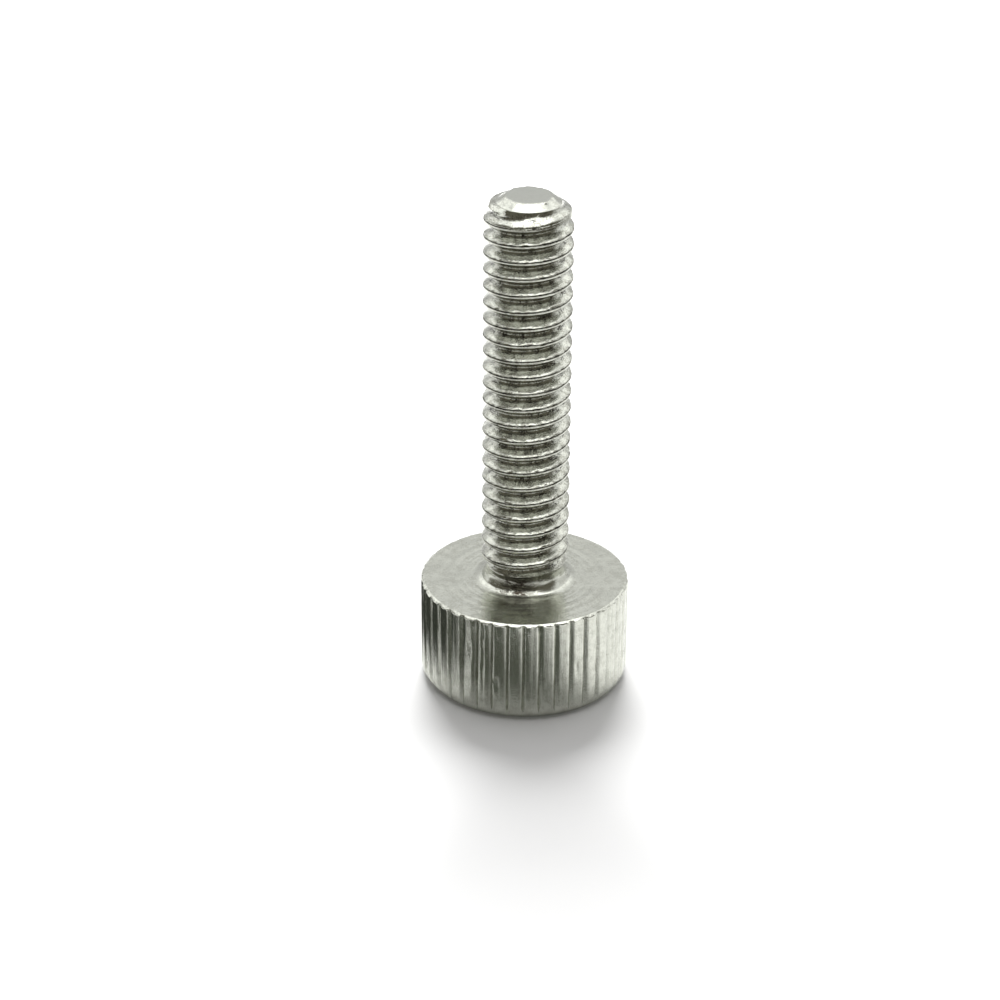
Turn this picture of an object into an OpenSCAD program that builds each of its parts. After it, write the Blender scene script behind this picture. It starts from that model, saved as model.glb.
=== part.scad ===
// Knurled thumb screw, a number 8-32 screw three quarters of an inch long, turned and rolled from one piece.
// It stands on its head, with the outer face of the head at z = 0 and the thread pointing up +Z.

/* [Head] */
// Diameter over the knurl
head_d = 9.75; // [8:0.05:13]
// Height of the head, from its outer face to its bearing face
head_h = 5.08; // [3:0.02:8]
// Width of the rounded edge round the outer face
edge_w = 0.44; // [0.3:0.02:0.7]
// Height of that rounded edge, up to the straight side
edge_h = 0.74; // [0.5:0.02:1]
// Width of the chamfer between the knurl and the bearing face, in which the knurl's grooves end
rim_w = 0.14; // [0.05:0.01:0.3]
// Height of that chamfer
rim_h = 0.08; // [0.04:0.01:0.2]

/* [Knurl] */
// Number of grooves round the head
groove_count = 40; // [24:1:56]
// Width of a groove where it opens
groove_w = 0.27; // [0.15:0.01:0.35]
// Angle between the two sides of a groove
groove_angle = 90; // [60:5:120]
// Turn of the knurl round the axis, in degrees
knurl_turn = -0.6; // [-4.5:0.1:4.5]

/* [Neck] */
// Fillet between the neck and the bearing face
neck_fillet = 0.62; // [0.2:0.02:0.9]
// Length of the neck between that fillet and the place where the crests start to rise
neck_plain = 0.1; // [0:0.02:1.5]
// Length over which the crests rise out of the neck
crest_rise = 0.5; // [0.2:0.05:1]

/* [Thread] */
// Diameter over the crests
thread_d = 4.06; // [3.4:0.01:5]
// Threads to the inch
threads_per_inch = 32; // [28:1:40]
// Length of the screw, from the bearing face to its end
screw_l = 19.05; // [10:0.05:24]
// Angle between the two flanks of the thread
flank_angle = 60; // [55:1:60]
// Share of the pitch that is flat at a crest
crest_share = 0.125; // [0.1:0.005:0.2]
// Share of the pitch that is flat at a root
root_share = 0.25; // [0.15:0.01:0.3]
// How far below the top of the neck's fillet the thread's groove starts
groove_dip = 0.28; // [0:0.02:0.3]
// Turns of the thread over which the floor of its groove sinks from there to full depth
runout_turns = 1; // [0.5:0.1:1.2]
// Turn of the thread round the axis, in degrees
thread_turn = -55; // [-180:1:180]

/* [End] */
// Diameter of the flat at the end
end_flat_d = 2.06; // [1.5:0.02:2.4]
// Diameter of the point, where its cone ends
point_d = 2.88; // [2.5:0.02:3.1]
// Height of that cone
point_h = 0.27; // [0.1:0.01:0.4]
// Diameter of the shoulder round the point, on which the first crest stands
shoulder_d = 3.48; // [3.2:0.02:3.8]
// Height of that shoulder
shoulder_h = 0.07; // [0.02:0.01:0.15]
// Height of the whole end, up to the first full crest
end_h = 1.2; // [0.8:0.05:1.6]

/* [Hidden] */

// Steps in one turn of the thread's groove, and in one rounded edge
turn_steps = 36;
edge_steps = 8;
// Smoothness of the turned shape
turned_fn = 144;

head_r = head_d / 2;
crest_r = thread_d / 2;
pitch = 25.4 / threads_per_inch;
thread_depth = pitch * (1 - crest_share - root_share) / 2 / tan(flank_angle / 2);
root_r = crest_r - thread_depth;
// A rolled thread starts from a blank that is halfway between its roots and its crests
neck_r = (crest_r + root_r) / 2;
neck_l = neck_fillet + neck_plain;
groove_depth = groove_w / 2 / tan(groove_angle / 2);
end_z = head_h + screw_l;
// How far a cutting shape stands clear of the surface that it cuts
clear = pitch / 16;

// Points of a convex arc in the r-z half plane. It leaves the straight side at (r, z), upright, and ends
// w further in and h further along z, so h is negative where the edge goes down.
function round_edge(r, z, w, h) =
    let (radius = (w * w + h * h) / (2 * w), last = asin(abs(h) / radius))
    [for (i = [0:edge_steps]) let (a = last * i / edge_steps)
        [r - radius + radius * cos(a), z + sign(h) * radius * sin(a)]];

// Points of the concave fillet, from the bearing face at its foot to the neck
function fillet(r, z, radius) =
    [for (i = [0:edge_steps]) let (a = 90 * i / edge_steps)
        [r + radius - radius * sin(a), z + radius - radius * cos(a)]];

function reversed(points) = [for (i = [len(points) - 1:-1:0]) points[i]];

// The screw before it is knurled and threaded
module blank() {
    rotate_extrude($fn = turned_fn)
        polygon(concat(
            [[0, 0]],
            reversed(round_edge(head_r, edge_h, edge_w, -edge_h)),
            [[head_r, head_h - rim_h], [head_r - rim_w, head_h]],
            fillet(neck_r, head_h, neck_fillet),
            [[neck_r, head_h + neck_l]],
            [[crest_r, head_h + neck_l + crest_rise]],
            round_edge(crest_r, end_z - end_h, crest_r - shoulder_d / 2, end_h - shoulder_h - point_h),
            [[point_d / 2, end_z - point_h], [end_flat_d / 2, end_z], [0, end_z]]
        ));
}

// Straight V grooves of the knurl, which fade out in the rounded edge at one end and in the rim at the other
module knurl_grooves() {
    open = groove_depth + clear;
    for (i = [0:groove_count - 1])
        rotate(knurl_turn + i * 360 / groove_count)
            translate([head_r - groove_depth, 0, -clear])
                linear_extrude(head_h + 2 * clear)
                    polygon([[0, 0], [open, -open * tan(groove_angle / 2)], [open, open * tan(groove_angle / 2)]]);
}

// One section of the thread's groove: its floor at the given radius, and its open side outside the crests
function groove_section(floor_r, angle, z) =
    let (root_half = pitch * root_share / 2,
         open_r = floor_r + thread_depth + clear,
         open_half = root_half + (thread_depth + clear) * tan(flank_angle / 2))
    [for (p = [[floor_r, -root_half], [open_r, -open_half], [open_r, open_half], [floor_r, root_half]])
        [p[0] * cos(angle), p[0] * sin(angle), z + p[1]]];

// The right-hand groove that leaves the thread's ridge standing. It starts in the fillet, level with the neck,
// sinks to full depth over the run-out, and goes on past the end of the screw.
module thread_groove() {
    start_z = head_h + neck_fillet - groove_dip;
    start_angle = thread_turn + 360 * ((start_z - end_z) / pitch - 0.5);
    steps = ceil((end_z - start_z) / pitch + 1) * turn_steps;
    lift = neck_r - root_r + clear;
    points = [for (i = [0:steps])
        each groove_section(
            root_r + lift * max(0, 1 - i / turn_steps / runout_turns),
            start_angle + 360 * i / turn_steps,
            start_z + pitch * i / turn_steps)];
    walls = [for (i = [0:steps - 1], k = [0:3])
        let (a = 4 * i + k, b = 4 * i + (k + 1) % 4)
        each [[a, b, a + 4], [b, b + 4, a + 4]]];
    polyhedron(points, concat([[3, 2, 1, 0]], [[for (k = [0:3]) 4 * steps + k]], walls));
}

module thumb_screw() {
    color("#b9bbb0")
        difference() {
            blank();
            knurl_grooves();
            thread_groove();
        }
}

thumb_screw();
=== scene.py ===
import math

import bpy
from mathutils import Matrix, Vector, noise


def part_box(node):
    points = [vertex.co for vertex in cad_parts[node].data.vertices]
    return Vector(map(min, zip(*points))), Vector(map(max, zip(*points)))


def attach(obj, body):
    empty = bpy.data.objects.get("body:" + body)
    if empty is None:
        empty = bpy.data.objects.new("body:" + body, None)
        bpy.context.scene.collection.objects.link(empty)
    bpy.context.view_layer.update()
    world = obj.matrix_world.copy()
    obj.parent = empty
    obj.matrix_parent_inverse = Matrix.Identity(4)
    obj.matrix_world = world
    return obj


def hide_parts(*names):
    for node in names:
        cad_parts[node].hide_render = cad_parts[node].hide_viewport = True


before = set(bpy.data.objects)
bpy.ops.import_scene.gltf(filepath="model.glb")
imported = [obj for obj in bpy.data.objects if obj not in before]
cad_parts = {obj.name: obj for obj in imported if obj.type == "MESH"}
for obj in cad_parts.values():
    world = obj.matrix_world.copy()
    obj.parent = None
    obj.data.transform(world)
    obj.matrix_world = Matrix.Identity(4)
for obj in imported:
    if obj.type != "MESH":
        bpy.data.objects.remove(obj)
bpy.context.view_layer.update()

mm = 0.001
weldDistance = 0.0008 * mm
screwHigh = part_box("thumb_screw")[1]

# The sizes below are in millimetres and turned to metres where a mesh is made.
# A pair such as (0.02, 0.35) is the depth of an unevenness and its size along the surface.
head = {
    "radius": screwHigh[0] / mm - 0.002,    # over the knurl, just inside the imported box
    "height": 5.08,                         # outer face to bearing face
    "rimWidth": 0.14,                       # lip round the bearing face, wider than the grooves are deep
    "rimHeight": 0.08,
    "lipNotch": 0.45,                       # share of a groove's depth that notches the lip
    "lipSink": 0.02,                        # how far the lip stays inside the knurl
    "lipWave": (0.02, 0.35),
    "edgeWidth": 0.44,                      # rounded edge round the outer face
    "edgeHeight": 0.74,
    "marks": (0.006, 0.16),                 # that turning left on the bearing face
    "markFade": (2.6, 3.4),                 # radii between which these marks grow fainter
    "faceRings": 26,                        # rings of vertices on the bearing face
    "wallRings": 14,
    "edgeRings": 8,
    "ringVertices": 480,                    # 12 to each knurl ridge
}
knurl = {
    "count": 40,
    "turn": -0.6,                           # degrees
    "grooveWidth": 0.27,
    "grooveDepth": 0.135,
    "depthVary": 0.18,                      # share by which one groove is deeper than another
    "shoulderDepth": 0.012,                 # rolled shoulder beside a groove
    "shoulderWidth": 0.1,
    "creaseDepth": 0.022,                   # shallow crease along a land
    "creaseWidth": 0.07,
    "creasePlace": (0.18, 0.1),             # from the groove's edge, and how far that varies
    "seed": 4.7,
    "landTilt": 0.12,                       # slope at most across a land
    "wave": (0.006, 1.1),
    "pits": (0.03, 0.2),                    # shallow ones all over
    "dentDepth": 0.09,
    "dents": [                              # azimuth, height and size of the deeper ones
        (-117.5, 2.17, 0.16), (-115.0, 1.8, 0.13), (-105.5, 1.92, 0.2), (-105.0, 1.72, 0.13),
        (-125.5, 1.15, 0.14), (-123.5, 2.71, 0.12), (-113.0, 0.87, 0.13), (-88.0, 1.71, 0.14),
        (-131.5, 2.14, 0.12), (-121.0, 3.41, 0.1), (-109.5, 2.3, 0.1), (-98.0, 1.2, 0.12),
        (-60.0, 2.5, 0.14), (-72.0, 3.2, 0.11), (40.0, 1.6, 0.15), (96.0, 2.8, 0.14), (168.0, 2.0, 0.15)],
}
thread = {
    "pitch": 25.4 / 32,
    "crestRadius": 2.03,
    "rootRadius": 1.6,
    "upperFlank": 30,                       # degrees, between the flank that faces the end and a plane across
    "lowerFlank": 38,                       # the same for the flank that faces the head
    "rootLean": 0.022,                      # the root widens by this much towards the end
    "lowerLip": (-0.06, 0.009),             # heights at which the two lips that rolling leaves on a crest
    "upperLip": (0.06, 0.088),              # start and stop, from the middle of the crest
    "upperLipDrop": 0.012,                  # the upper lip is a little lower
    "seam": 0.035,                          # height of the seam between them
    "seamDepth": 0.075,
    "corners": ((0.012, 1), (0.014, 2), (0.035, 3), (0.014, 2)),    # rounding of the lips, and its segments
    "lipWear": (0.035, 0.12),               # how far the upper lip comes and goes along a crest
    "nicks": (0.026, 0.16),                 # in the crests
    "wave": (0.006, 0.5),
    "grain": (0.003, 0.2),
    "turn": -55,                            # where a crest meets the end, in degrees
    "steps": 120,                           # in a turn
    "grooveStart": 0.34,                    # above the bearing face, where the groove starts
    "runoutTurns": 1.0,                     # over which its floor sinks to full depth
}
neck = {
    "radius": 1.815,
    "fillet": 0.62,
    "plain": 0.1,
    "crestRise": 0.5,
    "marks": (0.02, 0.09),                  # turning marks in the fillet
}
end = {
    "top": screwHigh[2] / mm - 0.001,
    "flatRadius": 1.03,
    "pointRadius": 1.44,                    # where the cone of the point ends
    "pointHeight": 0.27,
    "shoulderRadius": 1.74,                 # the first crest stands on a shoulder round the point
    "shoulderHeight": 0.07,
    "height": 1.2,                          # of the whole end, up to the first full crest
    "cut": 0.275,                           # how far below the top the thread's mesh stops
    "lipTurn": 135,                         # azimuth in the middle of the first crest
    "lipLow": 1.5,                          # radius to which it dies away on the other side
    "stepHeight": 0.15,                     # of the wall under the shoulder
    "stepLean": (0.42, 0.4),                # its slope in front, and how much more behind
    "stepSpread": 3,                        # slope below it, down to the first full crest
    "teeth": (0.022, 0.055),                # round the foot of the cone
    "burr": ((0.07, 0.25), (0.025, 0.08)),  # round the flat, a coarse and a fine one
}


def clearSelection():
    if bpy.context.mode != "OBJECT":
        bpy.ops.object.mode_set(mode="OBJECT")
    bpy.ops.object.select_all(action="DESELECT")


def makeActive(piece):
    clearSelection()
    piece.select_set(True)
    bpy.context.view_layer.objects.active = piece


def drawProfile(name, points):
    # a plane is merged to one vertex, and that is extruded from point to point, each (radius, z)
    clearSelection()
    bpy.ops.mesh.primitive_plane_add(size=mm, location=(0, 0, 0))
    piece = bpy.context.object
    piece.name = name
    piece.data.name = name
    bpy.ops.object.mode_set(mode="EDIT")
    bpy.ops.mesh.select_mode(type="VERT")
    bpy.ops.mesh.select_all(action="SELECT")
    bpy.ops.mesh.merge(type="CENTER")
    bpy.ops.transform.translate(value=(points[0][0] * mm, 0, points[0][1] * mm))
    for (r0, z0), (r1, z1) in zip(points, points[1:]):
        bpy.ops.mesh.extrude_vertices_move(
            TRANSFORM_OT_translate={"value": ((r1 - r0) * mm, 0, (z1 - z0) * mm)})
    bpy.ops.object.mode_set(mode="OBJECT")
    return piece


def roundCorner(piece, radius, z, size, segments):
    # bevels the one vertex of the profile that lies at (radius, z)
    makeActive(piece)
    bpy.ops.object.mode_set(mode="EDIT")
    bpy.ops.mesh.select_mode(type="VERT")
    bpy.ops.mesh.select_all(action="DESELECT")
    bpy.ops.object.mode_set(mode="OBJECT")
    target = Vector((radius, 0, z))
    for vertex in piece.data.vertices:
        vertex.select = (vertex.co / mm - target).length < 0.002
    bpy.ops.object.mode_set(mode="EDIT")
    bpy.ops.mesh.bevel(affect="VERTICES", offset=size * mm, segments=segments, profile=0.5)
    bpy.ops.object.mode_set(mode="OBJECT")


def turnRound(piece, steps, turns, rise):
    makeActive(piece)
    turning = piece.modifiers.new("Turned", "SCREW")
    turning.axis = "Z"
    turning.angle = math.tau
    turning.steps = steps
    turning.render_steps = steps
    turning.iterations = turns
    turning.screw_offset = rise * mm
    bpy.ops.object.modifier_apply(modifier=turning.name)
    bpy.ops.object.mode_set(mode="EDIT")
    bpy.ops.mesh.select_all(action="SELECT")
    bpy.ops.mesh.remove_doubles(threshold=weldDistance)
    bpy.ops.object.mode_set(mode="OBJECT")


def shapeRadius(piece, newRadius):
    # moves each vertex in or out from the axis, to newRadius(radius, azimuth in degrees, z)
    for vertex in piece.data.vertices:
        x, y, z = vertex.co / mm
        radius = math.hypot(x, y)
        if radius < 1e-6:
            continue
        scale = newRadius(radius, math.degrees(math.atan2(y, x)), z) / radius
        vertex.co.x = x * scale * mm
        vertex.co.y = y * scale * mm


def smoothStep(low, high, value):
    share = min(1.0, max(0.0, (value - low) / (high - low)))
    return share * share * (3 - 2 * share)


def unevenness(x, y, z, size):
    # smooth noise from -1 to 1, about as large as the given size in millimetres
    return noise.noise(Vector((x, y, z)) / size)


def roundPoint(radius, azimuth):
    return radius * math.cos(math.radians(azimuth)), radius * math.sin(math.radians(azimuth))


def arcRadius(radius, width, height, rise):
    # radius of a rounded edge, at a given rise past the place where it leaves the straight side
    bend = (width ** 2 + height ** 2) / (2 * width)
    return radius - bend + math.sqrt(max(0.0, bend ** 2 - min(rise, bend) ** 2))


# Thread: one pitch of the ridge is drawn, and the screw modifier winds it up the shank.
neckTop = head["height"] + neck["fillet"] + neck["plain"]
grooveStart = head["height"] + thread["grooveStart"]
threadLift = neck["radius"] - thread["rootRadius"] + 0.1    # enough to hide the groove under the neck
jointZ = head["height"] + 0.12             # where the shank's mesh meets the head's, low in the fillet


def lipRadius(azimuth):
    # the first crest stands out on one side and dies away round the other
    away = abs((azimuth - end["lipTurn"] + 180) % 360 - 180)
    return end["shoulderRadius"] + (end["lipLow"] - end["shoulderRadius"]) * smoothStep(45, 120, away)


def blankRadius(z, azimuth):
    # radius over the crests: fillet, neck, the rise out of it, and the rounded end
    aboveFace = z - head["height"]
    if aboveFace < neck["fillet"]:
        drop = (neck["fillet"] - aboveFace) / neck["fillet"]
        markDepth, markSize = neck["marks"]
        mark = markDepth * noise.noise(Vector((z / markSize, 8.8, 0))) * smoothStep(0.1, 0.2, aboveFace)
        return neck["radius"] + neck["fillet"] * (1 - math.sqrt(max(0.0, 1 - drop ** 2))) + mark
    crestR, shoulderR, pointR = thread["crestRadius"], end["shoulderRadius"], end["pointRadius"]
    radius = neck["radius"] + (crestR - neck["radius"]) * smoothStep(neckTop, neckTop + neck["crestRise"], z)
    depth = end["top"] - z
    shoulderDepth = end["pointHeight"] + end["shoulderHeight"]
    if depth < shoulderDepth + 0.4:
        # under the cone's foot the wall steps out a little, and then widens down to the first full crest
        share = smoothStep(end["pointHeight"], shoulderDepth, depth)
        past = max(0.0, depth - shoulderDepth)
        lean = end["stepLean"][0] + end["stepLean"][1] * smoothStep(80, 150, abs(azimuth))
        lip = lipRadius(azimuth) + lean * min(past, end["stepHeight"])
        lip += end["stepSpread"] * max(0.0, past - end["stepHeight"])
        radius = min(radius, pointR + (lip - pointR) * share)
    if depth < end["height"]:
        rise = end["height"] - max(depth, shoulderDepth)
        radius = min(radius, arcRadius(crestR, crestR - shoulderR, end["height"] - shoulderDepth, rise))
    return radius


def helixRoot(azimuth):
    # height of a groove's middle at an azimuth, on some turn
    return end["top"] + thread["pitch"] * ((azimuth - thread["turn"]) / 360 - 0.5)


def crestOffset(azimuth, z):
    # height above the middle of the nearest crest
    return (z - helixRoot(azimuth)) % thread["pitch"] - thread["pitch"] / 2


def threadRadius(radius, azimuth, z):
    # the groove's floor rises out of sight over the run-out at the neck
    grooveStep = round((z - helixRoot(azimuth)) / thread["pitch"])
    grooveZ = helixRoot(azimuth) + grooveStep * thread["pitch"]
    since = (grooveZ - grooveStart) / thread["pitch"] / thread["runoutTurns"]
    radius += threadLift * max(0.0, 1 - since)
    x, y = roundPoint(radius, azimuth)
    nearCrest = smoothStep(thread["crestRadius"] - 0.12, thread["crestRadius"], radius)
    if thread["seam"] < crestOffset(azimuth, z) < thread["upperLip"][1] + 0.03:
        depth, size = thread["lipWear"]
        radius -= depth * smoothStep(-0.05, 0.3, unevenness(x, y + 3, z * 1.3, size))
    depth, size = thread["nicks"]
    radius -= nearCrest * depth * smoothStep(0.3, 0.62, unevenness(x, y, z * 1.6, size))
    depth, size = thread["wave"]
    radius += depth * unevenness(x + 9, y, z, size)
    depth, size = thread["grain"]
    return min(radius, blankRadius(z, azimuth) + depth * unevenness(x, y, z + 5, size))


def makeThread():
    # the profile starts and ends in the seam between the two lips of a crest
    pitch, crestR, rootR = (thread[k] for k in ("pitch", "crestRadius", "rootRadius"))
    upperR, seamR = crestR - thread["upperLipDrop"], crestR - thread["seamDepth"]
    (lowLip, lowLipTop), (highLip, highLipTop) = thread["lowerLip"], thread["upperLip"]
    flankTop = highLipTop + (upperR - rootR) * math.tan(math.radians(thread["upperFlank"]))
    flankFoot = pitch + lowLip - (crestR - rootR) * math.tan(math.radians(thread["lowerFlank"]))
    startZ = helixRoot(0) + pitch / 2
    startZ -= pitch * math.ceil((startZ - head["height"]) / pitch + 1)
    turns = math.ceil((end["top"] - startZ) / pitch) + 1
    lips = [(upperR, highLip), (upperR, highLipTop), (crestR, pitch + lowLip), (crestR, pitch + lowLipTop)]
    upperFlank = [(upperR + (rootR - upperR) * i / 3, highLipTop + (flankTop - highLipTop) * i / 3)
                  for i in (1, 2)]
    roots = [(rootR + thread["rootLean"], flankTop), (rootR, flankFoot)]
    lowerFlank = ((crestR + rootR) / 2, (flankFoot + pitch + lowLip) / 2)
    places = [(seamR, thread["seam"]), *lips[:2], *upperFlank, *roots, lowerFlank, *lips[2:],
              (seamR, pitch + thread["seam"])]
    ridge = drawProfile("threadRidge", [(r, z + startZ) for r, z in places])
    for (r, z), (size, segments) in zip(lips, thread["corners"]):
        roundCorner(ridge, r, z + startZ, size, segments)
    turnRound(ridge, thread["steps"], turns, pitch)
    shapeRadius(ridge, threadRadius)
    # both ends are cut square, where the section is round; what lies close to a cut is first moved onto it
    nearCut = 0.52 * pitch / thread["steps"]
    for height, clearAbove in ((end["top"] - end["cut"], True), (jointZ, False)):
        for vertex in ridge.data.vertices:
            if abs(vertex.co.z / mm - height) < nearCut:
                vertex.co.z = height * mm
        makeActive(ridge)
        bpy.ops.object.mode_set(mode="EDIT")
        bpy.ops.mesh.select_all(action="SELECT")
        bpy.ops.mesh.bisect(plane_co=(0, 0, height * mm), plane_no=(0, 0, 1), threshold=1e-7,
                            clear_outer=clearAbove, clear_inner=not clearAbove)
    return ridge


def selectOpenEdge(piece, low, high):
    # selects the open rings that lie between two heights, and leaves the piece in edit mode
    makeActive(piece)
    bpy.ops.object.mode_set(mode="EDIT")
    bpy.ops.mesh.select_mode(type="VERT")
    bpy.ops.mesh.select_all(action="DESELECT")
    bpy.ops.mesh.select_non_manifold(extend=False, use_wire=False, use_boundary=True, use_multi_face=False,
                                     use_non_contiguous=False, use_verts=False)
    bpy.ops.object.mode_set(mode="OBJECT")
    for edge in piece.data.edges:
        edge.select = edge.select and all(
            low < piece.data.vertices[i].co.z / mm < high for i in edge.vertices)
    for face in piece.data.polygons:
        face.select = False
    kept = {i for edge in piece.data.edges if edge.select for i in edge.vertices}
    for vertex in piece.data.vertices:
        vertex.select = vertex.index in kept
    bpy.ops.object.mode_set(mode="EDIT")
    bpy.ops.mesh.select_mode(type="EDGE")


def raggedRim(radius, azimuth, z):
    # shearing and rolling left fine teeth round the foot of the cone, and a small burr round the flat
    x, y = roundPoint(1, azimuth)
    if abs(z - (end["top"] - end["pointHeight"])) < 0.002 and radius > end["flatRadius"]:
        depth, size = end["teeth"]
        return radius + depth * (1 + 1.4 * unevenness(x, y, 0, size))
    if abs(z - end["top"]) < 0.05 and radius > end["flatRadius"] * 0.9:
        (coarse, coarseSize), (fine, fineSize) = end["burr"]
        return radius + coarse * unevenness(x, y, 4, coarseSize) + fine * unevenness(x, y, 6, fineSize)
    return radius


def closeEnd(piece):
    # the shallow cone and the flat are extruded from the cut ring, and the last ring is merged to a point
    cutZ = end["top"] - end["cut"]
    selectOpenEdge(piece, cutZ - 0.01, cutZ + 0.01)
    ringR, coneR, flatR = blankRadius(cutZ, 0), end["pointRadius"], end["flatRadius"]
    stops = [(coneR + (flatR - coneR) * share, end["top"] - end["pointHeight"] * (1 - share))
             for share in (0, 0.12, 0.3, 0.5, 0.7, 0.88, 1)]
    stops += [(flatR * share, end["top"]) for share in (0.93, 0.75, 0.5, 0.25, 0.08)]
    ringZ = cutZ
    for radius, z in stops:
        bpy.ops.mesh.extrude_edges_move(TRANSFORM_OT_translate={"value": (0, 0, (z - ringZ) * mm)})
        bpy.ops.transform.resize(value=(radius / ringR, radius / ringR, 1), center_override=(0, 0, 0))
        ringR, ringZ = radius, z
    bpy.ops.mesh.merge(type="CENTER")
    bpy.ops.object.mode_set(mode="OBJECT")
    shapeRadius(piece, raggedRim)


# Head: its half section is drawn from the neck to the middle of the outer face, and turned round.
def headProfile():
    height, radius, wallFoot = head["height"], head["radius"], head["edgeHeight"]
    rimR, lipZ = radius - head["rimWidth"], height - head["rimHeight"]
    points = [(blankRadius(z, 0), z) for z in (jointZ - 0.02, height + 0.07, height + 0.04, height + 0.015)]
    faceStart = neck["radius"] + neck["fillet"]
    markDepth, markSize = head["marks"]
    for i in range(head["faceRings"]):
        # close together by the neck, where the tool's marks are deepest
        r = faceStart + (rimR - faceStart) * (i / head["faceRings"]) ** 1.7
        depth = 0.5 + noise.noise(Vector((r / markSize, 3.3, 0)))
        points.append((r, height - markDepth * depth * (1 - 0.8 * smoothStep(*head["markFade"], r))))
    points += [(rimR - 0.015, height), (rimR, height)]
    points += [(rimR + head["rimWidth"] * share, height - head["rimHeight"] * share)
               for share in (0.1, 0.5, 0.9, 0.97)]
    wallTop, rings = lipZ - 0.08, head["wallRings"]
    points += [(radius, lipZ - 0.01), (radius, wallTop)]
    points += [(radius, wallTop + (wallFoot - wallTop) * i / rings) for i in range(1, rings + 1)]
    for i in range(1, head["edgeRings"] + 1):
        z = wallFoot * (1 - math.sin(math.radians(90 * i / head["edgeRings"])))
        points.append((arcRadius(radius, head["edgeWidth"], head["edgeHeight"], wallFoot - z), z))
    flat = radius - head["edgeWidth"]
    points += [(flat * share, 0) for share in (0.97, 0.85, 0.7, 0.5, 0.3, 0.1, 0)]
    return points


def grooveDepthAt(azimuth, z):
    # depth of the knurl under the head's full radius
    step = 360 / knurl["count"]
    ridge = math.floor((azimuth - knurl["turn"]) / step + 0.5)
    offset = (azimuth - knurl["turn"] - ridge * step) * math.radians(1) * head["radius"]
    ridge %= knurl["count"]
    half = knurl["grooveWidth"] / 2
    tilt = knurl["landTilt"] * noise.noise(Vector((ridge * 5.7, 2.2, knurl["seed"])))
    vary = 1 + knurl["depthVary"] * noise.noise(Vector((ridge * 7.3, knurl["seed"], 0)))
    depth = knurl["grooveDepth"] * vary * max(0.0, 1 - abs(offset) / half)
    shoulder = knurl["shoulderDepth"] * (1 - smoothStep(half, half + knurl["shoulderWidth"], abs(offset)))
    place, shift = knurl["creasePlace"]
    creaseAt = half + place + shift * noise.noise(Vector((ridge * 3.1, 1, knurl["seed"])))
    crease = knurl["creaseDepth"] * (1 - smoothStep(0, knurl["creaseWidth"], abs(offset - creaseAt)))
    crease *= 0.5 + 0.5 * noise.noise(Vector((ridge, z * 0.8, 3)))
    return max(depth, shoulder) + tilt * offset + abs(tilt) * half * 2 + crease


def headRadiusAt(radius, azimuth, z):
    # knurled on the wall, the rounded edge and the lip; the faces and the fillet stay round
    rimR = head["radius"] - head["rimWidth"]
    if radius < head["radius"] - head["edgeWidth"] - 0.001 or (z > 3 and radius < rimR - 0.001):
        return radius
    x, y = roundPoint(head["radius"], azimuth)
    if z > head["height"] - head["rimHeight"] - 0.001:
        depth, size = head["lipWave"]
        waved = radius + depth * unevenness(x, y, 0, size) - depth / 2
        notched = head["radius"] - head["lipSink"] - head["lipNotch"] * grooveDepthAt(azimuth, z)
        return min(waved, notched)
    depth, size = knurl["pits"]
    dent = depth * smoothStep(0.35, 0.7, unevenness(x, y, z, size))
    for place, height, size in knurl["dents"]:
        away = math.hypot(math.radians(azimuth - place) * head["radius"], z - height)
        dent += knurl["dentDepth"] * (1 - smoothStep(0, size, away))
    depth, size = knurl["wave"]
    wave = depth * (1 + unevenness(x, y, z, size))
    return min(radius, head["radius"] - grooveDepthAt(azimuth, z) - dent - wave)


def makeHead():
    piece = drawProfile("headSection", headProfile())
    turnRound(piece, head["ringVertices"], 1, 0)
    shapeRadius(piece, headRadiusAt)
    return piece


def joinShell(upper, lower):
    makeActive(upper)
    lower.select_set(True)
    bpy.ops.object.join()
    piece = bpy.context.object
    piece.name = "plated_thumb_screw"
    piece.data.name = "plated_thumb_screw"
    selectOpenEdge(piece, jointZ - 0.03, jointZ + 0.01)
    bpy.ops.mesh.bridge_edge_loops()
    bpy.ops.mesh.select_mode(type="VERT")
    bpy.ops.mesh.select_all(action="SELECT")
    bpy.ops.mesh.remove_doubles(threshold=weldDistance)
    bpy.ops.mesh.dissolve_degenerate(threshold=0.001 * mm)      # slivers left where the thread was cut
    bpy.ops.mesh.normals_make_consistent(inside=False)
    bpy.ops.object.mode_set(mode="OBJECT")
    return piece


threadPiece = makeThread()
print("thread wound and cut,", len(threadPiece.data.polygons), "faces")
closeEnd(threadPiece)
headPiece = makeHead()
print("head turned and knurled,", len(headPiece.data.polygons), "faces")
screw = joinShell(threadPiece, headPiece)
makeActive(screw)
bpy.ops.object.shade_smooth_by_angle(angle=math.radians(48))
print("one shell,", len(screw.data.polygons), "faces")


# Materials
def linearColour(hexText):
    parts = [int(hexText[i:i + 2], 16) / 255 for i in (1, 3, 5)]
    return [*(p / 12.92 if p <= 0.04045 else ((p + 0.055) / 1.055) ** 2.4 for p in parts), 1.0]


def addNode(tree, kind, settings=None, links=None):
    # adds a node; a setting is an input's value or a property, and a link that is None is left out
    node = tree.nodes.new(kind)
    for key, value in (settings or {}).items():
        if isinstance(key, int) or key in node.inputs:
            node.inputs[key].default_value = value
        else:
            setattr(node, key, value)
    for key, source in (links or {}).items():
        if source is not None:
            tree.links.new(source, node.inputs[key])
    return node


def newMaterial(name):
    material = bpy.data.materials.new(name)
    material.use_nodes = True
    tree = material.node_tree
    tree.nodes.clear()
    return material, tree, addNode(tree, "ShaderNodeOutputMaterial")


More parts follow.
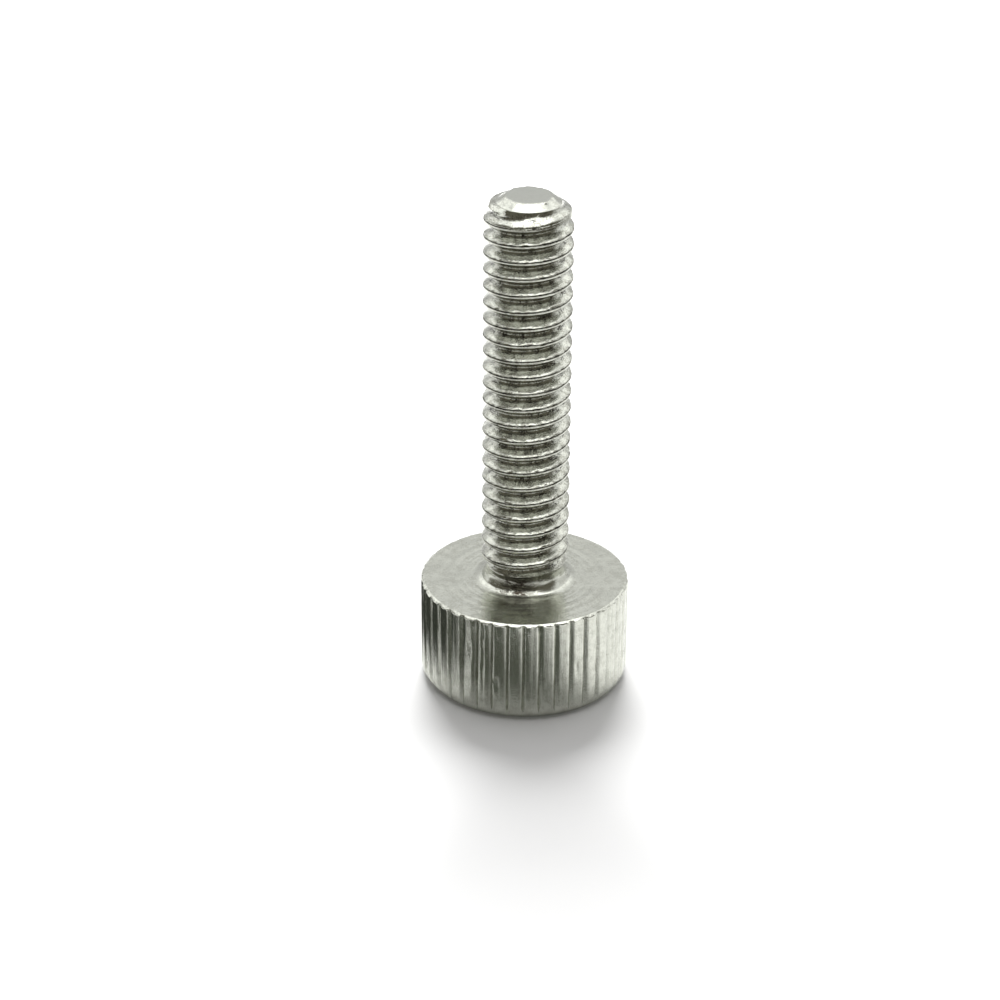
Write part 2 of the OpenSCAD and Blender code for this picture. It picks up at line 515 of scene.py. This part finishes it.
zincLook = {                        # sizes in mm
    "bright": "#d2d4ca",
    "dull": "#7a786c",
    "speckSize": 0.05,              # specks of duller plating
    "speckEdge": (0.76, 0.9),       # where a speck starts in the noise, and where it is full
    "grainSize": 0.065,             # the plating's grain
    "grainHeight": 0.011,
    "patchSize": 0.4,               # patches with a rougher surface
    # tone and grain of the dark reflection that is painted on the near side of the neck
    "neckReflectionTone": "#3b342b",
    "neckReflectionGrain": 0.3,
    "neckReflectionFlat": 3.5,               # how much lower than wide the patches of the painted dark reflection are
    # edges of the dark reflection painted on the near side of the neck, along X or Z, from where it starts to
    # where it is full
    "neckReflectionEdges": (("X", -1.25, -0.55), ("X", 0.55, 0.1), ("Z", 5.08, 5.2), ("Z", 6.2, 5.8)),
    "neckReflectionHeights": (0.02, 1.1),     # heights above the bearing face between which the neck gets that painted dark reflection
    "seamDarkDepth": 0.02,               # how far under the crests a face in a crest's seam lies that is made nearly black
    "grooveShadeDepth": 0.1,              # the same for the painted shade, as dark specks, in the groove
    "grooveShadeFree": (-0.07, 0.25),     # heights from the middle of a crest that have none
    "rings": ((0.045, 0.003, 3.0), (0.26, 0.024, 0.5)),     # spacing, height and detail of the turning marks
    "ringFade": (2.6, 3.8),         # radii between which the turning marks become fainter
    "faceWave": (1.7, 0.035),       # size and height of the face's unevenness
    "markSize": 0.09,               # marks along the knurl's lands
    "markHeight": 0.014,
    "markStretch": 0.08,
}


def zincBase(name, rough, speckShare, bright=zincLook["bright"], dull=zincLook["dull"],
             speckEdge=zincLook["speckEdge"]):
    # what the finishes share: a metal with duller specks, rougher in patches
    material, tree, output = newMaterial(name)
    place = addNode(tree, "ShaderNodeTexCoord").outputs["Object"]
    grain = addNode(
        tree, "ShaderNodeTexNoise",
        {"Scale": 1 / (zincLook["grainSize"] * mm), "Detail": 3.0, "Roughness": 0.6}, {"Vector": place})
    patch = addNode(
        tree, "ShaderNodeTexNoise", {"Scale": 1 / (zincLook["patchSize"] * mm), "Detail": 3.0},
        {"Vector": place})
    speck = addNode(
        tree, "ShaderNodeTexNoise",
        {"Scale": 1 / (zincLook["speckSize"] * mm), "Detail": 3.0, "Roughness": 0.65}, {"Vector": place})
    both = addNode(
        tree, "ShaderNodeMath", {"operation": "MULTIPLY_ADD", 1: 0.6},
        {0: patch.outputs["Fac"], 2: speck.outputs["Fac"]})
    dullness = addNode(
        tree, "ShaderNodeMapRange",
        {"From Min": speckEdge[0], "From Max": speckEdge[1], "To Max": speckShare},
        {"Value": both.outputs[0]})
    tone = addNode(
        tree, "ShaderNodeMix", {"data_type": "RGBA", 6: linearColour(bright), 7: linearColour(dull)},
        {0: dullness.outputs["Result"]})
    roughness = addNode(
        tree, "ShaderNodeMapRange",
        {"From Min": 0.35, "From Max": 0.65, "To Min": rough[0], "To Max": rough[1]},
        {"Value": patch.outputs["Fac"]})
    shader = addNode(
        tree, "ShaderNodeBsdfPrincipled", {"Metallic": 1.0},
        {"Base Color": tone.outputs[2], "Roughness": roughness.outputs["Result"]})
    tree.links.new(shader.outputs["BSDF"], output.inputs["Surface"])
    return {"material": material, "tree": tree, "shader": shader, "place": place, "tone": tone.outputs[2],
            "grain": grain.outputs["Fac"]}


def withGrain(zinc, strength, height=zincLook["grainHeight"], over=None):
    # finishes a material with the plating's grain, which lies over the marks in it
    bump = addNode(zinc["tree"], "ShaderNodeBump", {"Strength": strength, "Distance": height * mm},
                   {"Height": zinc["grain"], "Normal": over})
    zinc["tree"].links.new(bump.outputs["Normal"], zinc["shader"].inputs["Normal"])
    return zinc["material"]


def zincOnRolledSteel():
    # bright zinc over the rolled thread: a fine grain breaks its reflections up
    return withGrain(zincBase("zincOnRolledSteel", (0.05, 0.12), 0.6), 1.0)


def zincDarkInSeam():
    # the seam between the two lips of a crest is made nearly black and rougher than the rest
    zinc = zincBase("zincDarkInSeam", (0.16, 0.26), 1.0, "#96948a", "#1a1815", (0.74, 0.85))
    return withGrain(zinc, 1.0)


def zincShadedGroove():
    # painted shade: dark specks are painted on the plating in the groove, where it lies deep under the crests
    zinc = zincBase("zincShadedGroove", (0.06, 0.14), 0.95, dull="#332e27", speckEdge=(0.83, 0.88))
    return withGrain(zinc, 1.0)


def zincOnShearedEnd():
    # the end was sheared off before plating, and is satin with a faint grain
    return withGrain(zincBase("zincOnShearedEnd", (0.28, 0.36), 0.1, "#c8cac2"), 0.3)


def zincOnKnurl():
    # bright zinc over the pressed knurl: the wheel leaves fine marks along the lands, under the grain
    zinc = zincBase("zincOnKnurl", (0.1, 0.2), 0.35)
    drawn = addNode(
        zinc["tree"], "ShaderNodeVectorMath", {"operation": "MULTIPLY", 1: (1, 1, zincLook["markStretch"])},
        {0: zinc["place"]})
    marks = addNode(
        zinc["tree"], "ShaderNodeTexNoise", {"Scale": 1 / (zincLook["markSize"] * mm), "Detail": 2.0},
        {"Vector": drawn.outputs[0]})
    bump = addNode(
        zinc["tree"], "ShaderNodeBump", {"Strength": 1.0, "Distance": zincLook["markHeight"] * mm},
        {"Height": marks.outputs["Fac"]})
    return withGrain(zinc, 0.6, over=bump.outputs["Normal"])


def zincOnTurnedFace():
    # bright zinc over a turned face: fine rings round the axis draw its reflections out along the radius,
    # coarser ones break them up, and the face isn't quite flat
    zinc = zincBase("zincOnTurnedFace", (0.16, 0.26), 0.3)
    tree = zinc["tree"]
    across = addNode(
        tree, "ShaderNodeVectorMath", {"operation": "MULTIPLY", 1: (1, 1, 0)}, {0: zinc["place"]})
    radius = addNode(tree, "ShaderNodeVectorMath", {"operation": "LENGTH"}, {0: across.outputs[0]})
    low, high = zincLook["ringFade"]
    fade = addNode(
        tree, "ShaderNodeMapRange",
        {"From Min": low * mm, "From Max": high * mm, "To Min": 1.0, "To Max": 0.3},
        {"Value": radius.outputs["Value"]})
    normal = None
    for spacing, height, detail in zincLook["rings"]:
        rings = addNode(
            tree, "ShaderNodeTexNoise",
            {"noise_dimensions": "1D", "Scale": 1 / (spacing * mm), "Detail": detail, "Roughness": 0.7},
            {"W": radius.outputs["Value"]})
        bump = addNode(
            tree, "ShaderNodeBump", {"Distance": height * mm},
            {"Height": rings.outputs["Fac"], "Strength": fade.outputs["Result"], "Normal": normal})
        normal = bump.outputs["Normal"]
    size, height = zincLook["faceWave"]
    wave = addNode(
        tree, "ShaderNodeTexNoise", {"Scale": 1 / (size * mm), "Detail": 1.0}, {"Vector": zinc["place"]})
    waved = addNode(
        tree, "ShaderNodeBump", {"Strength": 1.0, "Distance": height * mm},
        {"Height": wave.outputs["Fac"], "Normal": normal})
    return withGrain(zinc, 0.5, zincLook["grainHeight"] * 0.5, waved.outputs["Normal"])


def zincPaintedReflectionAtNeck():
    # painted dark reflection: on the near side of the neck and fillet the plating's colour is darkened in a
    # patch with ragged edges, darkest in front of the neck, and the plating is rougher there
    zinc = zincBase("zincPaintedReflectionAtNeck", (0.12, 0.24), 0.6)
    tree = zinc["tree"]
    split = addNode(tree, "ShaderNodeSeparateXYZ", None, {0: zinc["place"]})
    flattened = addNode(
        tree, "ShaderNodeVectorMath", {"operation": "MULTIPLY", 1: (1, 1, zincLook["neckReflectionFlat"])},
        {0: zinc["place"]})
    ragged = addNode(
        tree, "ShaderNodeTexNoise",
        {"Scale": 1 / (zincLook["neckReflectionGrain"] * mm), "Detail": 4.0, "Roughness": 0.65},
        {"Vector": flattened.outputs[0]})
    share = addNode(
        tree, "ShaderNodeMapRange", {"From Min": 0.38, "From Max": 0.56, "To Min": 0.25},
        {"Value": ragged.outputs["Fac"]}).outputs["Result"]
    for axis, start, full in zincLook["neckReflectionEdges"]:
        # each edge of the painted dark patch is moved to and fro by the noise
        width = abs(full - start)
        moved = addNode(
            tree, "ShaderNodeMath", {"operation": "MULTIPLY_ADD", 1: width * 2 * mm},
            {0: ragged.outputs["Fac"], 2: split.outputs[axis]})
        edge = addNode(
            tree, "ShaderNodeMapRange", {"From Min": (start + width) * mm, "From Max": (full + width) * mm},
            {"Value": moved.outputs[0]})
        share = addNode(
            tree, "ShaderNodeMath", {"operation": "MULTIPLY"},
            {0: share, 1: edge.outputs["Result"]}).outputs[0]
    darkened = addNode(
        tree, "ShaderNodeMix", {"data_type": "RGBA", 7: linearColour(zincLook["neckReflectionTone"])},
        {0: share, 6: zinc["tone"]})
    tree.links.new(darkened.outputs[2], zinc["shader"].inputs["Base Color"])
    return withGrain(zinc, 1.0)


def finishAt(place):
    # the finish of the face whose middle is at a place in mm
    x, y, z = place
    radius, azimuth = place.xy.length, math.degrees(math.atan2(y, x))
    aboveFace, belowTop = z - head["height"], end["top"] - z
    if z > neckTop and belowTop > end["cut"]:
        sunk, offset = blankRadius(z, azimuth) - radius, crestOffset(azimuth, z)
        inSeam = thread["lowerLip"][1] + 0.003 < offset < thread["upperLip"][0] - 0.003
        # the seam of a crest, where it lies deep under the crests, is made nearly black
        if inSeam and sunk > zincLook["seamDarkDepth"]:
            return zincDarkInSeam
        # painted shade as dark specks in the groove, away from the middle of a crest
        low, high = zincLook["grooveShadeFree"]
        if sunk > zincLook["grooveShadeDepth"] and not low < offset < high:
            return zincShadedGroove
    low, high = zincLook["neckReflectionHeights"]
    # the near side of the neck and fillet gets the painted dark reflection
    if low < aboveFace < high and y < -1.2 and abs(x + 0.4) < 1:
        return zincPaintedReflectionAtNeck
    if belowTop < 0.01:
        return zincOnShearedEnd
    if belowTop < end["pointHeight"] or z < 0.01:
        return zincOnTurnedFace
    if -0.005 < aboveFace < 0.5 and radius < head["radius"] - 0.05:
        return zincOnTurnedFace
    if aboveFace < -0.005 and radius > head["radius"] - head["edgeWidth"]:
        return zincOnKnurl
    return zincOnRolledSteel


finishes = [zincOnRolledSteel, zincOnTurnedFace, zincOnKnurl, zincOnShearedEnd, zincPaintedReflectionAtNeck,
            zincDarkInSeam, zincShadedGroove]
screw.data.materials.clear()
for finish in finishes:
    screw.data.materials.append(finish())
for face in screw.data.polygons:
    face.material_index = finishes.index(finishAt(face.center / mm))
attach(screw, "root")
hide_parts("thumb_screw")
print("materials made")

# Stage: a white floor, dark cards of painted shade on it, a soft lamp above and behind, and a sky that is dim
# on the near side
stage = {                           # sizes in mm
    "floorSize": 2000,
    "floorColour": "#e6e6e6",
    "floorGlow": 0.05,
    "whiteFrom": (45, 110),         # past the lamp's reach the floor is seen as white
    # cards of painted shade, dark glowing sheets that only reflections see: middle, tone, how much wider than
    # deep each is, and the distances from its middle at which it starts to fade and has faded
    "cards": {
        "nearShadeCard": ((-8, -10), "#5b5e56", 2.0, (3, 10)),
        "leftShadeCard": ((-13, 2), "#3f423c", 1.0, (6, 11.5)),
        "farShadeCard": ((0, 52), "#55564f", 1.0, (12, 30)),
    },
    "cardHole": (5.3, 8),           # no card shows this near the screw's axis
    "cardHeight": 0.05,
    "lampPlace": (-10, 170, 180),
    "lampTarget": (0, 0, 5),
    "lampSize": 140,
    "lampPower": 0.95,
}


def makeFloor():
    clearSelection()
    bpy.ops.mesh.primitive_plane_add(size=stage["floorSize"] * mm, location=(0, 0, 0))
    floor = bpy.context.object
    floor.name = "studio_floor"
    material, tree, output = newMaterial("whitePaperFloor")
    diffuse = addNode(tree, "ShaderNodeBsdfDiffuse", {"Color": linearColour(stage["floorColour"])})
    place = addNode(tree, "ShaderNodeTexCoord").outputs["Object"]
    path = addNode(tree, "ShaderNodeLightPath")
    direct = addNode(
        tree, "ShaderNodeMath", {"operation": "MAXIMUM"},
        {0: path.outputs["Is Camera Ray"], 1: path.outputs["Is Glossy Ray"]})
    faint = addNode(
        tree, "ShaderNodeMath", {"operation": "MULTIPLY", 1: stage["floorGlow"]}, {0: direct.outputs[0]})
    low, high = stage["whiteFrom"]
    distance = addNode(tree, "ShaderNodeVectorMath", {"operation": "LENGTH"}, {0: place})
    away = addNode(
        tree, "ShaderNodeMapRange", {"From Min": low * mm, "From Max": high * mm},
        {"Value": distance.outputs["Value"]})
    strength = addNode(
        tree, "ShaderNodeMath", {"operation": "MULTIPLY_ADD"},
        {0: away.outputs[0], 1: path.outputs["Is Camera Ray"], 2: faint.outputs[0]})
    glow = addNode(tree, "ShaderNodeEmission", {"Color": (1, 1, 1, 1)}, {"Strength": strength.outputs[0]})
    both = addNode(tree, "ShaderNodeAddShader", None, {0: diffuse.outputs[0], 1: glow.outputs[0]})
    tree.links.new(both.outputs[0], output.inputs["Surface"])
    floor.data.materials.append(material)


def makeCard(name, middle, tone, stretch, fade):
    # a card of painted shade: a dark glowing sheet with a soft edge, round or stretched sideways, seen only
    # in reflections
    clearSelection()
    bpy.ops.mesh.primitive_circle_add(vertices=64, radius=fade[1] * mm, fill_type="NGON", location=(0, 0, 0))
    card = bpy.context.object
    card.name = name
    bpy.ops.object.mode_set(mode="EDIT")
    bpy.ops.mesh.select_all(action="SELECT")
    bpy.ops.transform.resize(value=(stretch, 1, 1), center_override=(0, 0, 0))
    bpy.ops.transform.translate(value=(middle[0] * mm, middle[1] * mm, stage["cardHeight"] * mm))
    bpy.ops.object.mode_set(mode="OBJECT")
    material, tree, output = newMaterial(name + "SoftEdge")
    place = addNode(tree, "ShaderNodeTexCoord").outputs["Object"]
    fromMiddle = addNode(
        tree, "ShaderNodeVectorMath", {"operation": "SUBTRACT", 1: (middle[0] * mm, middle[1] * mm, 0)},
        {0: place})
    narrowed = addNode(
        tree, "ShaderNodeVectorMath", {"operation": "DIVIDE", 1: (stretch, 1, 1)}, {0: fromMiddle.outputs[0]})
    distance = addNode(tree, "ShaderNodeVectorMath", {"operation": "LENGTH"}, {0: narrowed.outputs[0]})
    faded = addNode(
        tree, "ShaderNodeMapRange",
        {"interpolation_type": "SMOOTHSTEP", "From Min": fade[0] * mm, "From Max": fade[1] * mm},
        {"Value": distance.outputs["Value"]})
    fromAxis = addNode(tree, "ShaderNodeVectorMath", {"operation": "LENGTH"}, {0: place})
    low, high = stage["cardHole"]
    hole = addNode(
        tree, "ShaderNodeMapRange", {"From Min": high * mm, "From Max": low * mm},
        {"Value": fromAxis.outputs["Value"]})
    share = addNode(
        tree, "ShaderNodeMath", {"operation": "MAXIMUM"}, {0: faded.outputs[0], 1: hole.outputs[0]})
    dark = addNode(tree, "ShaderNodeEmission", {"Color": linearColour(tone), "Strength": 1.0})
    clear = addNode(tree, "ShaderNodeBsdfTransparent")
    both = addNode(
        tree, "ShaderNodeMixShader", None, {0: share.outputs[0], 1: dark.outputs[0], 2: clear.outputs[0]})
    tree.links.new(both.outputs[0], output.inputs["Surface"])
    card.data.materials.append(material)
    for ray in ("camera", "diffuse", "shadow", "transmission", "volume_scatter"):
        setattr(card, "visible_" + ray, False)


def makeLamp():
    data = bpy.data.lights.new("softboxBehind", "AREA")
    data.shape = "ELLIPSE"
    data.size = stage["lampSize"] * mm
    data.size_y = stage["lampSize"] * mm
    data.energy = stage["lampPower"]
    lamp = bpy.data.objects.new("softboxBehind", data)
    bpy.context.scene.collection.objects.link(lamp)
    lamp.location = Vector(stage["lampPlace"]) * mm
    aim = Vector(stage["lampTarget"]) - Vector(stage["lampPlace"])
    lamp.rotation_mode = "QUATERNION"
    lamp.rotation_quaternion = aim.to_track_quat("-Z", "Y")
    lamp.visible_camera = False
    lamp.visible_glossy = False


sky = {                             # colours and strengths
    "behindLow": ("#fbfbfb", 0.64),
    "behindHigh": ("#ffffff", 1.2),
    "sides": ("#ffffff", 0.9),
    "near": ("#67645a", 1.0),
    "panels": ("#ffffff", 1.5),
    "overhead": ("#ffffff", 2.4),
    # What is laid over behindLow, in this order: the tone, its kind of ramp, and the ramps whose product is
    # its share. Each runs along an axis from where it starts to where it is full. X is left and right, Y is
    # -1 towards the near side, Z is up, aside is X either way, and leaning is Y, less on the left.
    "layers": (
        ("behindHigh", "SMOOTHSTEP", (("Z", 0.3, 0.75),)),
        ("sides", "SMOOTHSTEP", (("Y", 0.8, 0.55),)),
        ("near", "SMOOTHSTEP", (("leaning", 0.14, -0.04),)),
        ("panels", "LINEAR", (("aside", 0.28, 0.4), ("aside", 0.72, 0.58),
                              ("Y", 0.3, 0.45), ("Z", 0.28, 0.42))),
        ("overhead", "SMOOTHSTEP", (("Z", 0.8, 0.93),)),
    ),
    "lean": 0.3,                    # so the near tone reaches further round on the left
    "onFloor": 0.5,                 # share of the sky that lights the floor
}


def skyTone(key):
    colour, strength = sky[key]
    return [v * strength for v in linearColour(colour)[:3]] + [1.0]


def makeSky():
    world = bpy.data.worlds.new("studioSky")
    bpy.context.scene.world = world
    world.use_nodes = True
    tree = world.node_tree
    tree.nodes.clear()
    output = addNode(tree, "ShaderNodeOutputWorld")
    direction = addNode(tree, "ShaderNodeTexCoord").outputs["Generated"]
    split = addNode(tree, "ShaderNodeSeparateXYZ", None, {0: direction})
    aside = addNode(tree, "ShaderNodeMath", {"operation": "ABSOLUTE"}, {0: split.outputs["X"]})
    toLeft = addNode(tree, "ShaderNodeMath", {"operation": "MINIMUM", 1: 0.0}, {0: split.outputs["X"]})
    leaning = addNode(
        tree, "ShaderNodeMath", {"operation": "MULTIPLY_ADD", 1: sky["lean"]},
        {0: toLeft.outputs[0], 2: split.outputs["Y"]})
    axes = {"X": split.outputs["X"], "Y": split.outputs["Y"], "Z": split.outputs["Z"],
            "aside": aside.outputs[0], "leaning": leaning.outputs[0]}
    level = None
    for key, kind, ramps in sky["layers"]:
        share = None
        for axis, start, full in ramps:
            ramp = addNode(
                tree, "ShaderNodeMapRange", {"interpolation_type": kind, "From Min": start, "From Max": full},
                {"Value": axes[axis]}).outputs["Result"]
            share = ramp if share is None else addNode(
                tree, "ShaderNodeMath", {"operation": "MULTIPLY"}, {0: share, 1: ramp}).outputs[0]
        level = addNode(
            tree, "ShaderNodeMix", {"data_type": "RGBA", 6: skyTone("behindLow"), 7: skyTone(key)},
            {0: share, 6: level}).outputs[2]
    path = addNode(tree, "ShaderNodeLightPath")
    seen = addNode(
        tree, "ShaderNodeMix", {"data_type": "RGBA", 7: (1, 1, 1, 1)},
        {0: path.outputs["Is Camera Ray"], 6: level})
    dim = addNode(
        tree, "ShaderNodeMapRange", {"To Min": 1.0, "To Max": sky["onFloor"]},
        {"Value": path.outputs["Is Diffuse Ray"]})
    glow = addNode(
        tree, "ShaderNodeBackground", None, {"Color": seen.outputs[2], "Strength": dim.outputs["Result"]})
    tree.links.new(glow.outputs[0], output.inputs["Surface"])


makeFloor()
makeSky()
makeLamp()
for name, card in stage["cards"].items():
    makeCard(name, *card)

# Camera
cameraView = {
    "place": (-1.185, -119.86, 70.483),     # mm
    "right": (0.999973, 0.003352, 0.006539),
    "up": (-0.007348, 0.456192, 0.889851),
    "forward": (0, 0.889875, -0.456204),
    "lens": 104.545,
    "sensor": 36,
}
cameraData = bpy.data.cameras.new("camera")
cameraData.sensor_width = cameraView["sensor"]
cameraData.lens = cameraView["lens"]
cameraData.clip_start = 5 * mm
cameraData.clip_end = 10
camera = bpy.data.objects.new("camera", cameraData)
bpy.context.scene.collection.objects.link(camera)
right, up, forward = (Vector(cameraView[k]) for k in ("right", "up", "forward"))
turned = Matrix((right, up, -forward)).transposed().to_4x4()
camera.matrix_world = Matrix.Translation(Vector(cameraView["place"]) * mm) @ turned
bpy.context.scene.camera = camera

bpy.context.scene.view_settings.view_transform = "Standard"
print("stage, lamps and camera placed")
